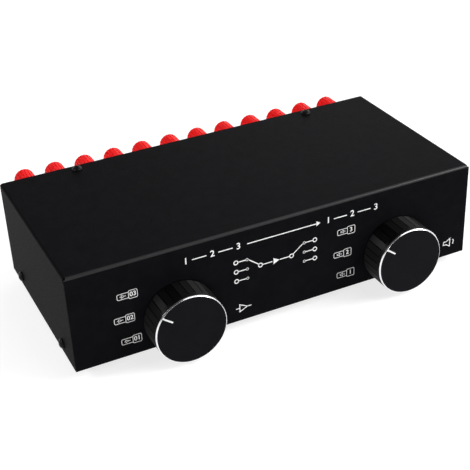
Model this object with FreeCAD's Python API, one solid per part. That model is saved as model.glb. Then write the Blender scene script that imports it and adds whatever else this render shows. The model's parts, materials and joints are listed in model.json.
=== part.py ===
import FreeCAD, Part
import math
import os

# Speaker selector switch: a passive box with two rotary switches. One picks one
# of three amplifiers and the other one of three pairs of speakers.
# Millimetres. +X points right as seen from the front, +Y to the rear and +Z up.
# The origin is the middle of the whole outline, on the plane of the feet.

V = FreeCAD.Vector

# ---- case ------------------------------------------------------------------
CASE_WIDTH = 240.0
CASE_DEPTH = 114.0
CASE_HEIGHT = 56.5            # without the feet
SHEET = 1.0                   # steel sheet of the cover and the chassis
BEND_INNER = 0.5              # inside radius of each fold
COVER_CLEARANCE = 0.2         # between the cover and the chassis inside it
CORNER_SEAM = 0.25            # open seam between the front and each side
CORNER_RELIEF_RADIUS = 0.9    # punched hole where three folds meet
CORNER_RELIEF_DEPTH = 2.6
REAR_INSET = 0.6              # rear panel inside the cover's rear edge
FRONT_LIP_HEIGHT = 8.0
LIP_NOTCH_CLEARANCE = 1.5     # beside each rotary switch
SIDE_FLANGE_HEIGHT = 12.0
REAR_LIP_HEIGHT = 12.0        # lip that the rear panel is screwed to
FLANGE_END_GAP = 3.0          # side flange to front lip and to rear lip
TAB_DEPTH = 12.0              # rear panel's tabs under the top
TAB_WIDTH = 14.0
TAB_RELIEF = 1.0              # notch beside and below each tab

# ---- M3 screws of the case -----------------------------------------------------
SCREW_RADIUS = 1.5
SCREW_LENGTH = 4.0
SCREW_HEAD_RADIUS = 2.9
SCREW_HEAD_HEIGHT = 1.9
SCREW_HEAD_RIM = 0.6          # straight rim under the dome
RECESS_SPAN = 3.2             # Phillips cross, tip to tip
RECESS_WIDTH = 0.8
RECESS_DEPTH = 1.1
SCREW_HOLE_CLEARANCE = 0.2    # radial, in the cover
THREAD_CLEARANCE = 0.05       # radial, in a tapped hole or nut
TOP_SCREW_X = 75.5            # from the middle plane
TOP_SCREW_INSET = 5.2         # from the cover's rear edge
SIDE_SCREW_INSET = 20.0       # from the front and from the rear edge
SIDE_SCREW_HEIGHT = 5.5       # above the cover's lower edge
REAR_SCREW_X = 90.0           # outer two of the three, from the middle plane
REAR_SCREW_HEIGHT = 6.5       # above the rear panel's lower edge

# ---- feet --------------------------------------------------------------------
FOOT_HEIGHT = 6.0
FOOT_TOP_RADIUS = 7.0
FOOT_BOTTOM_RADIUS = 6.2
FOOT_INSET = 20.0             # foot centre from the case's sides
FOOT_WEB = 3.0                # rubber between the screw's head and the case
FOOT_POCKET_CLEARANCE = 0.5   # radial, around the screw's head
FOOT_SCREW_LENGTH = 6.0

# ---- rotary switches -----------------------------------------------------------
SWITCH_NAMES = ("amp", "speaker")
AMP_SWITCH_INSET = 58.5       # axis from the case's left side
SPEAKER_SWITCH_INSET = 49.0   # axis from the case's right side
SWITCH_HEIGHT = 17.0          # axis above the case's lower edge
DETENT_STEP = 30.0            # degrees between two of the three positions
POSITIONS = 3
HOUSING_RADIUS = 14.0
HOUSING_WALL = 1.5
HOUSING_DEPTH = 12.0
HOUSING_FRONT = 2.0
KEY_WIDTH = 2.0               # tab that stops the housing turning in the panel
KEY_HEIGHT = 1.4
KEY_RADIUS = 10.5             # from the switch's axis
KEY_CLEARANCE = 0.1
KEY_SETBACK = 0.1             # tab's end behind the panel's face
BUSHING_RADIUS = 4.5
BUSHING_REACH = 5.0           # in front of the panel
BUSHING_EDGE = 0.4            # chamfer at its front end
BUSHING_FLANGE_RADIUS = 7.0
BUSHING_FLANGE = 1.2
HOLE_CLEARANCE = 0.15         # radial, a plain hole around a bushing or a tail
WASHER_RADIUS = 7.4
WASHER_THICKNESS = 0.6
BUSHING_NUT_FLATS = 12.0
BUSHING_NUT_THICKNESS = 2.2
SHAFT_RADIUS = 3.0
SHAFT_FLAT = 1.5              # axis to the flat of the D
SHAFT_FLAT_LENGTH = 8.4
SHAFT_REACH = 14.4            # in front of the panel
JOURNAL_RADIUS = 2.0          # rear end of the shaft
RUNNING_CLEARANCE = 0.05      # radial, shaft in bushing and stem in cap
ROTOR_GAP = 0.4               # bushing's flange to the star wheel
STAR_RADIUS = 9.4
STAR_THICKNESS = 3.0
SCALLOP_RADIUS = 2.2
SCALLOP_DEPTH = 0.9
CARRIER_RADIUS = 9.4          # disc that carries the wipers
CARRIER_THICKNESS = 2.4
STOP_LUG_HEIGHT = 1.9
STOP_LUG_HALF_ANGLE = 7.0
STOP_LUG_ANGLE = 240.0        # middle of the lug at rest, seen from the front
STOP_RIB_HALF_ANGLE = 4.0
STOP_MARGIN = 2.0             # degrees left to the rib at each end
STOP_RIB_HEIGHT = 2.2
WIPER_COUNT = 4
WIPER_WIDTH = 1.6
WIPER_THICKNESS = 0.5
WIPER_FIRST_ANGLE = 15.0
WIPER_INNER_RADIUS = 4.4
WIPER_OUTER_RADIUS = 9.0
PAD_GAP = 0.3                 # wipers to the terminals' pads
BALL_RADIUS = 1.5
BALL_CLEARANCE = 0.25         # ball to the star wheel's crests
POCKET_CLEARANCE = 0.1        # radial, around the ball
TOWER_WIDTH = 7.0             # block that holds the detent spring
TOWER_RADIUS = 20.0           # its outer end, from the switch's axis
TOWER_ROOF = 1.4
SPRING_STRIP = 0.16           # thickness of the folded flat wire
SPRING_WIDTH = 1.6
SPRING_HALF_SPAN = 0.95       # axis of the tower to the middle of each fold
SPRING_FOLDS = 6
SPRING_BEND = 0.16
SPRING_END_GAP = 0.1
END_PLATE_THICKNESS = 2.0
THROW_RADIUS = 8.0            # ring of twelve outer terminals
COMMON_RADIUS = 5.4           # ring of four inner terminals
TERMINAL_RADIUS = 0.55
TERMINAL_CLEARANCE = 0.05
PAD_RADIUS = 0.9
PAD_THICKNESS = 0.5
BOARD_GAP = 1.0               # end plate to the switch's circuit board
BOARD_THICKNESS = 1.6
SOLDER_TAIL = 1.2
SWITCH_BOARD_WIDTH = 36.0
SWITCH_BOARD_HEIGHT = 30.0

# ---- knobs ---------------------------------------------------------------------
KNOB_RADIUS = 20.0
KNOB_REACH = 17.2             # panel to the front of the trim ring
KNOB_GAP = 1.0                # panel to the back of the knob
KNOB_WALL = 2.4
KNOB_FACE_THICKNESS = 3.4
KNOB_GROOVES = 30
KNOB_GROOVE_DEPTH = 0.45
KNOB_LAND_SHARE = 0.88        # share of each pitch that is land
FACE_RECESS = 0.2             # face behind the front of the trim ring
RING_WIDTH = 2.0              # along the axis
RING_BAND = 0.5               # plain band at its back
RING_LINE = 0.3               # turned line between band and bevel
RING_LINE_DEPTH = 0.3
RING_FACE_RADIUS = 18.8       # front end of the bevel
RING_INNER_RADIUS = 18.3
RING_CLEARANCE = 0.05
BOSS_RADIUS = 6.5
BOSS_GAP = 1.2                # bushing's end to the knob's boss
RIB_COUNT = 3
RIB_THICKNESS = 1.4
RIB_SETBACK = 1.6             # ribs start this far in front of the boss's end
GRUB_SCREW_RADIUS = 1.5
GRUB_SCREW_LENGTH = 4.5
GRUB_SOCKET_FLATS = 1.5
GRUB_SOCKET_DEPTH = 1.6
GRUB_SCREW_REACH = 10.8       # panel to the screw's axis
GRUB_ACCESS_RADIUS = 1.9
BORE_END_GAP = 0.4            # shaft's tip to the end of its bore
POINTER_ANGLE = 142.3         # at rest, seen from the front
POINTER_INNER_RADIUS = 14.0
POINTER_WIDTH = 0.95
POINTER_DEPTH = 0.4
POINTER_PROUD = 0.05
INLAY_CLEARANCE = 0.03

# ---- binding posts ---------------------------------------------------------------
POSTS_PER_ROW = 12
POST_PITCH = 18.5
ROW_PITCH = 19.0              # red row above black row
RED_ROW_DROP = 8.8            # red axis below the case's top
POST_LENGTH = 18.1            # rear panel to the cap's outer end
STEM_RADIUS = 3.0
STEM_RECESS = 0.8             # stem's end inside the cap
TAIL_RADIUS = 2.0             # threaded tail through the panel
TAIL_SPARE = 1.4              # tail past its nut
SOCKET_RADIUS = 2.0           # for a 4 mm plug
SOCKET_DEPTH = 10.0
WIRE_HOLE_RADIUS = 1.2        # across the stem, for bare wire
WIRE_HOLE_OFFSET = 2.2        # from the collar
COLLAR_RADIUS = 6.0
COLLAR_THICKNESS = 3.0
COLLAR_EDGE = 0.4             # chamfer
SPIGOT_RADIUS = 3.5           # collar's spigot in the rear panel
CAP_RADIUS = 6.0
CAP_GAP = 0.15                # collar to cap, screwed down
CAP_FLUTES = 18
CAP_FLUTE_DEPTH = 0.45
CAP_LAND_SHARE = 0.6
CAP_EDGE = 0.6                # chamfer at the outer end
INNER_WASHER_RADIUS = 5.2
INNER_WASHER_THICKNESS = 2.0
POST_NUT_FLATS = 7.0
POST_NUT_THICKNESS = 2.6
TERMINAL_BOARD_SIDE_MARGIN = 8.0
TERMINAL_BOARD_TOP_MARGIN = 4.0
TERMINAL_BOARD_LOW_MARGIN = 8.0

# ---- ribbon cables ---------------------------------------------------------------
RIBBON_THICKNESS = 1.2
RIBBON_WIDTH = 22.0
RIBBON_BEND = 7.0             # radius at the middle of the ribbon
RIBBON_RISE = 12.0            # start above the switch's axis
RIBBON_SAG = 7.0              # lowest run below the switch's axis
RIBBON_STRAIGHT = 13.0        # straight run off each board
RIBBON_SLOPE_RUN = 20.0       # length along Y of each slope
LINK_WIDTH = 8.0
LINK_BEND = 3.0
LINK_DEPTH = 10.0             # run behind the switch boards
LINK_EDGE = 3.0               # from the edge of each switch board

# ---- places that follow from the sizes above ----------------------------------------
REAR_REACH = POST_LENGTH - REAR_INSET
FRONT_Y = (KNOB_REACH - CASE_DEPTH - REAR_REACH) / 2
REAR_Y = FRONT_Y + CASE_DEPTH
REAR_PANEL_Y = REAR_Y - REAR_INSET
CASE_BOTTOM = FOOT_HEIGHT
CASE_TOP = FOOT_HEIGHT + CASE_HEIGHT
HALF_WIDTH = CASE_WIDTH / 2
BEND_OUTER = BEND_INNER + SHEET
BEND_MIDDLE = BEND_INNER + SHEET / 2
CHASSIS_HALF_WIDTH = HALF_WIDTH - SHEET - COVER_CLEARANCE
SWITCH_X = (AMP_SWITCH_INSET - HALF_WIDTH, HALF_WIDTH - SPEAKER_SWITCH_INSET)
SWITCH_Z = CASE_BOTTOM + SWITCH_HEIGHT
HOUSING_BORE = HOUSING_RADIUS - HOUSING_WALL
HOUSING_END = SHEET + HOUSING_DEPTH
STAR_START = SHEET + HOUSING_FRONT + BUSHING_FLANGE + ROTOR_GAP
CARRIER_START = STAR_START + STAR_THICKNESS
WIPER_START = CARRIER_START + CARRIER_THICKNESS
PAD_START = WIPER_START + WIPER_THICKNESS + PAD_GAP
BOARD_START = HOUSING_END + END_PLATE_THICKNESS + BOARD_GAP
BOARD_END = BOARD_START + BOARD_THICKNESS
STAR_MIDDLE = STAR_START + STAR_THICKNESS / 2
BALL_CENTRE = STAR_RADIUS + BALL_CLEARANCE + BALL_RADIUS
POCKET_RADIUS = BALL_RADIUS + POCKET_CLEARANCE
BOSS_END = BUSHING_REACH + BOSS_GAP
KNOB_FACE = KNOB_REACH - FACE_RECESS
RING_BACK = KNOB_REACH - RING_WIDTH
FOOT_SCREW_HOLE = SCREW_RADIUS + SCREW_HOLE_CLEARANCE
RED_ROW_Z = CASE_TOP - RED_ROW_DROP
BLACK_ROW_Z = RED_ROW_Z - ROW_PITCH
COLLAR_END = COLLAR_THICKNESS
STEM_END = POST_LENGTH - STEM_RECESS
TAIL_HOLE = TAIL_RADIUS + HOLE_CLEARANCE
WASHER_END = -SHEET - INNER_WASHER_THICKNESS
TERMINAL_BOARD_FACE = WASHER_END - BOARD_THICKNESS
TAIL_END = TERMINAL_BOARD_FACE - POST_NUT_THICKNESS - TAIL_SPARE
POST_X = [POST_PITCH * (i - (POSTS_PER_ROW - 1) / 2) for i in range(POSTS_PER_ROW)]


# ---- shapes used more than once -------------------------------------------------------
def box(x, y, z):
    """Block between the two ends given for each axis."""
    return Part.makeBox(x[1] - x[0], y[1] - y[0], z[1] - z[0], V(x[0], y[0], z[0]))


def rod(radius, y, x=0.0, z=0.0):
    """Cylinder along Y between the two ends in y."""
    return Part.makeCylinder(radius, y[1] - y[0], V(x, y[0], z), V(0, 1, 0))


def tube(outer, inner, y):
    """Round tube along Y, about the local axis."""
    return rod(outer, y).cut(rod(inner, y))


def turned(outline):
    """Solid turned about Y from a closed outline of (radius, y) points."""
    points = [V(radius, y, 0) for radius, y in outline + outline[:1]]
    return Part.Face(Part.makePolygon(points)).revolve(V(0, 0, 0), V(0, 1, 0), 360)


def polar(radius, degrees, y=0.0):
    """Point at a radius and angle about Y; 0 is right and 90 up, from the front."""
    angle = math.radians(degrees)
    return V(radius * math.cos(angle), y, radius * math.sin(angle))


def prism(corners, y):
    """Prism along Y with the given corners, which lie in one plane across Y."""
    face = Part.Face(Part.makePolygon(corners + corners[:1]))
    return face.extrude(V(0, y[1] - y[0], 0))


def fluted(radius, count, depth, land_share, y, first=0.0):
    """Prism along Y whose rim has flat lands with a V groove between them."""
    pitch = 360.0 / count
    corners = []
    for land in range(count):
        middle = first + land * pitch
        corners.append(polar(radius, middle - pitch * land_share / 2, y[0]))
        corners.append(polar(radius, middle + pitch * land_share / 2, y[0]))
        corners.append(polar(radius - depth, middle + pitch / 2, y[0]))
    return prism(corners, y)


def sector(inner, outer, middle, half_angle, y):
    """Piece of a ring about Y between two radii, middle +- half_angle degrees."""
    wedge = tube(outer, inner, y)
    far = 2 * outer
    corners = [V(0, y[0], 0)]
    corners += [polar(far, middle + part * half_angle, y[0]) for part in (-1, 0, 1)]
    return wedge.common(prism(corners, y))


def hex_nut(flats, bore, y):
    """Hexagon nut along Y, about the local axis."""
    corners = [polar(flats / math.sqrt(3), 60 * i + 30, y[0]) for i in range(6)]
    return prism(corners, y).cut(rod(bore, y))


def spoke(angle, radii, width, y):
    """Straight bar along a radius at an angle about Y."""
    bar = box(radii, y, (-width / 2, width / 2))
    bar.rotate(V(0, 0, 0), V(0, 1, 0), -angle)
    return bar


def radial_rod(angle, radii, radius, y):
    """Round bar along a radius at an angle about Y."""
    return Part.makeCylinder(radius, radii[1] - radii[0], polar(radii[0], angle, y),
                             polar(1, angle))


def d_section(radius, flat, angle, y):
    """Rod along Y with one flat that faces the given angle."""
    cutter = spoke(angle, (flat, 2 * radius), 4 * radius, y)
    return rod(radius, y).cut(cutter)


def bent_sheet(points, bend, thickness):
    """Face of a sheet seen on edge: its middle line follows flat 3-D points and
    turns at each inner point on an arc of the bend radius."""
    runs = [(b - a).normalize() for a, b in zip(points, points[1:])]
    normal = runs[0].cross(runs[1]).normalize()
    sides = [normal.cross(run) for run in runs]
    edges = {}
    for sign in (1, -1):
        offset = sign * thickness / 2
        here = points[0] + sides[0] * offset
        edges[sign] = []
        for i, corner in enumerate(points[1:-1]):
            turn = runs[i].getAngle(runs[i + 1])
            left = runs[i].cross(runs[i + 1]).dot(normal) > 0
            reach = bend * math.tan(turn / 2)
            centre = corner - runs[i] * reach + sides[i] * (bend if left else -bend)
            radius = bend - offset if left else bend + offset
            start = corner - runs[i] * reach + sides[i] * offset
            end = corner + runs[i + 1] * reach + sides[i + 1] * offset
            middle = centre + (corner - centre).normalize() * radius
            edges[sign].append(Part.LineSegment(here, start).toShape())
            edges[sign].append(Part.Arc(start, middle, end).toShape())
            here = end
        last = points[-1] + sides[-1] * offset
        edges[sign].append(Part.LineSegment(here, last).toShape())
    caps = []
    for point, side in ((points[0], sides[0]), (points[-1], sides[-1])):
        half = side * (thickness / 2)
        caps.append(Part.LineSegment(point + half, point - half).toShape())
    wire = Part.Wire(Part.__sortEdges__(edges[1] + edges[-1] + caps))
    return Part.Face(wire)


def turned_to(shape, at, direction):
    """Copy of a shape made along +Z, turned along a direction and moved to a point."""
    copy = shape.copy()
    copy.Placement = FreeCAD.Placement(at, FreeCAD.Rotation(V(0, 0, 1), direction))
    return copy


def moved(shape, x, y, z):
    """Copy of a shape, moved."""
    copy = shape.copy()
    copy.translate(V(x, y, z))
    return copy


def pan_screw(length):
    """Domed Phillips screw: its seat is at z = 0 and its shank points down."""
    foot, rim = V(0, 0, 0), V(SCREW_HEAD_RADIUS, 0, 0)
    edge, crown = V(SCREW_HEAD_RADIUS, 0, SCREW_HEAD_RIM), V(0, 0, SCREW_HEAD_HEIGHT)
    diagonal = math.sqrt(0.5)
    shoulder = V(SCREW_HEAD_RADIUS * diagonal, 0,
                 SCREW_HEAD_RIM + (SCREW_HEAD_HEIGHT - SCREW_HEAD_RIM) * diagonal)
    sides = Part.makePolygon([crown, foot, rim, edge]).Edges
    outline = Part.Wire(sides + [Part.Arc(edge, shoulder, crown).toShape()])
    head = Part.Face(outline).revolve(V(0, 0, 0), V(0, 0, 1), 360)
    half, span = RECESS_WIDTH / 2, RECESS_SPAN / 2
    floor = SCREW_HEAD_HEIGHT - RECESS_DEPTH
    for x, y in (((-half, half), (-span, span)), ((-span, span), (-half, half))):
        head = head.cut(box(x, y, (floor, SCREW_HEAD_HEIGHT + 1)))
    shank = Part.makeCylinder(SCREW_RADIUS, length, V(0, 0, -length))
    return head.fuse(shank).removeSplitter()


# ---- case ---------------------------------------------------------------------------
def side_screw_places():
    """Seat and outward direction of the four screws in the sides."""
    ys = (FRONT_Y + SIDE_SCREW_INSET, REAR_Y - SIDE_SCREW_INSET)
    z = CASE_BOTTOM + SIDE_SCREW_HEIGHT
    return [(V(side * HALF_WIDTH, y, z), V(side, 0, 0)) for side in (-1, 1) for y in ys]


def top_screw_places():
    """Seat and outward direction of the two screws in the top."""
    y = REAR_Y - TOP_SCREW_INSET
    return [(V(side * TOP_SCREW_X, y, CASE_TOP), V(0, 0, 1)) for side in (-1, 1)]


def rear_screw_places():
    """Seat and outward direction of the three screws in the rear panel."""
    z = CASE_BOTTOM + REAR_SCREW_HEIGHT
    return [(V(side * REAR_SCREW_X, REAR_PANEL_Y, z), V(0, 1, 0)) for side in (-1, 0, 1)]


def foot_places():
    """Centres of the four feet, on the case's lower face."""
    x = HALF_WIDTH - FOOT_INSET
    ys = (FRONT_Y + FOOT_INSET, REAR_Y - FOOT_INSET)
    return [V(side * x, y, CASE_BOTTOM) for side in (-1, 1) for y in ys]


def drilled(shape, places, radius, depth):
    """Shape with a round hole at each (point, outward direction)."""
    for point, outward in places:
        start = point + outward
        shape = shape.cut(Part.makeCylinder(radius, depth + 1, start, outward * -1))
    return shape


def long_edges(solid, tests):
    """Edges of a block whose middle lies on both planes of any of the tests."""
    chosen = []
    for edge in solid.Edges:
        middle = edge.CenterOfMass
        for test in tests:
            if all(abs(getattr(middle, axis) - place) < 1e-6 for axis, place in test):
                chosen.append(edge)
    return chosen


def top_cover():
    """Top, front and both sides, folded from one sheet."""
    outer = box((-HALF_WIDTH, HALF_WIDTH), (FRONT_Y, REAR_Y), (CASE_BOTTOM, CASE_TOP))
    tests = [(("z", CASE_TOP), ("y", FRONT_Y))]
    tests += [(("z", CASE_TOP), ("x", side * HALF_WIDTH)) for side in (-1, 1)]
    outer = outer.makeFillet(BEND_OUTER, long_edges(outer, tests))
    inside_x, inside_y, inside_z = HALF_WIDTH - SHEET, FRONT_Y + SHEET, CASE_TOP - SHEET
    inner = box((-inside_x, inside_x), (inside_y, REAR_Y + 1), (CASE_BOTTOM - 1, inside_z))
    tests = [(("z", inside_z), ("y", inside_y))]
    tests += [(("z", inside_z), ("x", side * inside_x)) for side in (-1, 1)]
    inner = inner.makeFillet(BEND_INNER, long_edges(inner, tests))
    cover = outer.cut(inner)
    for side in (-1, 1):
        across = sorted((side * inside_x, side * (HALF_WIDTH + 1)))
        seam = (inside_y, inside_y + CORNER_SEAM)
        cover = cover.cut(box(across, seam, (CASE_BOTTOM - 1, CASE_TOP - BEND_OUTER)))
        relief = V(side * (HALF_WIDTH - SHEET / 2), inside_y, CASE_TOP - CORNER_RELIEF_DEPTH)
        cover = cover.cut(Part.makeCylinder(CORNER_RELIEF_RADIUS, CORNER_RELIEF_DEPTH + 1, relief))
    hole = SCREW_RADIUS + SCREW_HOLE_CLEARANCE
    cover = drilled(cover, side_screw_places() + top_screw_places(), hole, 2 * SHEET)
    panel = (FRONT_Y - 1, FRONT_Y + SHEET + 1)
    key = KEY_WIDTH / 2 + KEY_CLEARANCE
    for x in SWITCH_X:
        cover = cover.cut(rod(BUSHING_RADIUS + HOLE_CLEARANCE, panel, x, SWITCH_Z))
        low = SWITCH_Z + KEY_RADIUS - KEY_CLEARANCE
        slot = (low, low + KEY_HEIGHT + 2 * KEY_CLEARANCE)
        cover = cover.cut(box((x - key, x + key), panel, slot))
    return cover


def base_chassis():
    """Tray: the bottom, a lip along its front and rear, and two side flanges."""
    half = CHASSIS_HALF_WIDTH
    floor = CASE_BOTTOM + SHEET / 2
    front = FRONT_Y + SHEET + COVER_CLEARANCE + SHEET / 2
    rear = REAR_PANEL_Y - SHEET - SHEET / 2
    side_view = [(front, CASE_BOTTOM + FRONT_LIP_HEIGHT), (front, floor), (rear, floor),
                 (rear, CASE_BOTTOM + REAR_LIP_HEIGHT)]
    points = [V(-half, y, z) for y, z in side_view]
    chassis = bent_sheet(points, BEND_MIDDLE, SHEET).extrude(V(2 * half, 0, 0))
    # the side flanges lie between the two lips
    start, end = front + FLANGE_END_GAP, rear - FLANGE_END_GAP
    edge = half - BEND_OUTER
    for side in (-1, 1):
        across = sorted((side * edge, side * (half + 1)))
        chassis = chassis.cut(box(across, (start, end), (CASE_BOTTOM - 1, floor + SHEET)))
    wall = half - SHEET / 2
    front_view = [(-wall, CASE_BOTTOM + SIDE_FLANGE_HEIGHT), (-wall, floor), (wall, floor),
                  (wall, CASE_BOTTOM + SIDE_FLANGE_HEIGHT)]
    points = [V(x, start, z) for x, z in front_view]
    chassis = chassis.fuse(bent_sheet(points, BEND_MIDDLE, SHEET).extrude(V(0, end - start, 0)))
    chassis = chassis.removeSplitter()
    tapped = SCREW_RADIUS + THREAD_CLEARANCE
    reach = 3 * SHEET + COVER_CLEARANCE
    chassis = drilled(chassis, side_screw_places() + rear_screw_places(), tapped, reach)
    under = [(point, V(0, 0, -1)) for point in foot_places()]
    chassis = drilled(chassis, under, tapped, 2 * SHEET)
    notch = HOUSING_RADIUS + LIP_NOTCH_CLEARANCE
    for x in SWITCH_X:
        lip = (FRONT_Y + SHEET, front + BEND_OUTER)
        above = (CASE_BOTTOM + BEND_OUTER, CASE_BOTTOM + FRONT_LIP_HEIGHT + 1)
        chassis = chassis.cut(box((x - notch, x + notch), lip, above))
    return chassis


def rear_panel():
    """Flat sheet with the posts' holes and two tabs folded in under the top."""
    inner, outer = REAR_PANEL_Y - SHEET, REAR_PANEL_Y
    roof = CASE_TOP - SHEET - COVER_CLEARANCE
    panel = box((-CHASSIS_HALF_WIDTH, CHASSIS_HALF_WIDTH), (inner, outer), (CASE_BOTTOM, roof))
    root = roof - BEND_OUTER - TAB_RELIEF
    through = (inner - 1, outer + 1)
    side_view = [(outer - SHEET / 2, root), (outer - SHEET / 2, roof - SHEET / 2),
                 (outer - TAB_DEPTH, roof - SHEET / 2)]
    for middle in (-TOP_SCREW_X, TOP_SCREW_X):
        left, right = middle - TAB_WIDTH / 2, middle + TAB_WIDTH / 2
        notch = box((left - TAB_RELIEF, right + TAB_RELIEF), through, (root, roof + 1))
        points = [V(left, y, z) for y, z in side_view]
        tab = bent_sheet(points, BEND_MIDDLE, SHEET).extrude(V(TAB_WIDTH, 0, 0))
        panel = panel.cut(notch).fuse(tab)
    panel = panel.removeSplitter()
    tapped = SCREW_RADIUS + THREAD_CLEARANCE
    panel = drilled(panel, top_screw_places(), tapped, 3 * SHEET + COVER_CLEARANCE)
    panel = drilled(panel, rear_screw_places(), SCREW_RADIUS + SCREW_HOLE_CLEARANCE, 2 * SHEET)
    for z in (RED_ROW_Z, BLACK_ROW_Z):
        for x in POST_X:
            panel = panel.cut(rod(SPIGOT_RADIUS + HOLE_CLEARANCE, through, x, z))
    return panel


def screws(places, length):
    """One screw at each (seat, outward direction)."""
    screw = pan_screw(length)
    return [turned_to(screw, point, outward) for point, outward in places]


def rubber_feet():
    """Four tapered feet, each with a pocket for its screw's head."""
    foot = Part.makeCone(FOOT_BOTTOM_RADIUS, FOOT_TOP_RADIUS, FOOT_HEIGHT)
    foot = foot.cut(Part.makeCylinder(FOOT_SCREW_HOLE, FOOT_HEIGHT))
    pocket = SCREW_HEAD_RADIUS + FOOT_POCKET_CLEARANCE
    foot = foot.cut(Part.makeCylinder(pocket, FOOT_HEIGHT - FOOT_WEB))
    return [moved(foot, place.x, place.y, 0) for place in foot_places()]


def foot_screws():
    """Four screws up through the feet into the chassis."""
    down = V(0, 0, -1)
    seats = [(V(place.x, place.y, FOOT_HEIGHT - FOOT_WEB), down) for place in foot_places()]
    return screws(seats, FOOT_SCREW_LENGTH)


# ---- rotary switch: x and z from its axis, y from the panel's front face ----------------
def switch_housing():
    """Cup behind the panel, with a tower for the detent spring and two stop ribs."""
    cup = rod(HOUSING_RADIUS, (SHEET, HOUSING_END))
    half = TOWER_WIDTH / 2
    tower = box((-half, half), (STAR_MIDDLE - half, STAR_MIDDLE + half), (0, TOWER_RADIUS))
    cup = cup.fuse(tower)
    cup = cup.cut(rod(HOUSING_BORE, (SHEET + HOUSING_FRONT, HOUSING_END + 1)))
    ribs = STOP_LUG_HALF_ANGLE + STOP_MARGIN + STOP_RIB_HALF_ANGLE
    travel = DETENT_STEP * (POSITIONS - 1)
    inner = HOUSING_BORE - STOP_RIB_HEIGHT
    for middle in (STOP_LUG_ANGLE - ribs, STOP_LUG_ANGLE + travel + ribs):
        rib = sector(inner, HOUSING_BORE + HOUSING_WALL / 2, middle, STOP_RIB_HALF_ANGLE,
                     (SHEET + HOUSING_FRONT / 2, HOUSING_END))
        cup = cup.fuse(rib)
    key = box((-KEY_WIDTH / 2, KEY_WIDTH / 2), (KEY_SETBACK, SHEET + HOUSING_FRONT / 2),
              (KEY_RADIUS, KEY_RADIUS + KEY_HEIGHT))
    cup = cup.fuse(key).removeSplitter()
    cup = cup.cut(rod(BUSHING_RADIUS + THREAD_CLEARANCE, (0, SHEET + HOUSING_FRONT + 1)))
    return cup.cut(radial_rod(90, (STAR_RADIUS, TOWER_RADIUS - TOWER_ROOF), POCKET_RADIUS,
                              STAR_MIDDLE))


def switch_bushing():
    """Threaded bushing with a flange inside the housing."""
    bore = SHAFT_RADIUS + RUNNING_CLEARANCE
    flange = SHEET + HOUSING_FRONT
    outline = [(bore, -BUSHING_REACH), (BUSHING_RADIUS - BUSHING_EDGE, -BUSHING_REACH),
               (BUSHING_RADIUS, BUSHING_EDGE - BUSHING_REACH), (BUSHING_RADIUS, flange),
               (BUSHING_FLANGE_RADIUS, flange), (BUSHING_FLANGE_RADIUS, flange + BUSHING_FLANGE),
               (bore, flange + BUSHING_FLANGE)]
    return turned(outline)


def bushing_washer():
    """Washer between the panel and the bushing's nut."""
    return tube(WASHER_RADIUS, BUSHING_RADIUS + HOLE_CLEARANCE, (-WASHER_THICKNESS, 0))


def bushing_nut():
    """Nut that clamps the switch to the panel, hidden inside the knob."""
    back = -WASHER_THICKNESS
    return hex_nut(BUSHING_NUT_FLATS, BUSHING_RADIUS + THREAD_CLEARANCE,
                   (back - BUSHING_NUT_THICKNESS, back))


def detent_ball():
    """Ball that the star wheel clicks past, drawn at its lifted height."""
    return Part.makeSphere(BALL_RADIUS, V(0, STAR_MIDDLE, BALL_CENTRE))


def detent_spring():
    """Zigzag of flat wire between the ball and the roof of the tower."""
    low = BALL_CENTRE + BALL_RADIUS + SPRING_END_GAP + SPRING_STRIP / 2
    high = TOWER_RADIUS - TOWER_ROOF - SPRING_END_GAP - SPRING_STRIP / 2
    step = (high - low) / SPRING_FOLDS
    start = STAR_MIDDLE - SPRING_WIDTH / 2
    points = [V(-SPRING_HALF_SPAN, start, low)]
    for fold in range(SPRING_FOLDS + 1):
        side = 1 if fold % 2 == 0 else -1
        points.append(V(side * SPRING_HALF_SPAN, start, low + fold * step))
    points.append(V(-points[-1].x, start, high))
    return bent_sheet(points, SPRING_BEND, SPRING_STRIP).extrude(V(0, SPRING_WIDTH, 0))


def terminal_angles():
    """Radius and angle of each terminal: twelve throws and four commons."""
    throws = [(THROW_RADIUS, WIPER_FIRST_ANGLE + DETENT_STEP * i) for i in range(12)]
    step = 360.0 / WIPER_COUNT
    middle = WIPER_FIRST_ANGLE + DETENT_STEP * (POSITIONS - 1) / 2
    commons = [(COMMON_RADIUS, middle + step * i) for i in range(WIPER_COUNT)]
    return throws + commons


def pin_holes(plate, y):
    """Plate with a hole for each terminal."""
    for radius, angle in terminal_angles():
        point = polar(radius, angle)
        plate = plate.cut(rod(TERMINAL_RADIUS + TERMINAL_CLEARANCE, y, point.x, point.z))
    return plate


def switch_end_plate():
    """Insulating disc that closes the housing and holds the terminals."""
    y = (HOUSING_END, HOUSING_END + END_PLATE_THICKNESS)
    plate = tube(HOUSING_RADIUS, JOURNAL_RADIUS + RUNNING_CLEARANCE, y)
    return pin_holes(plate, y)


def switch_terminals():
    """Sixteen pins, each with a contact pad inside the housing."""
    pins = []
    for radius, angle in terminal_angles():
        point = polar(radius, angle)
        pad = rod(PAD_RADIUS, (PAD_START, PAD_START + PAD_THICKNESS), point.x, point.z)
        pin = rod(TERMINAL_RADIUS, (PAD_START, BOARD_END + SOLDER_TAIL), point.x, point.z)
        pins.append(pad.fuse(pin).removeSplitter())
    return pins


def switch_board():
    """Circuit board soldered to the terminals."""
    x, z = SWITCH_BOARD_WIDTH / 2, SWITCH_BOARD_HEIGHT / 2
    y = (BOARD_START, BOARD_END)
    return pin_holes(box((-x, x), y, (-z, z)), y)


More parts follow.
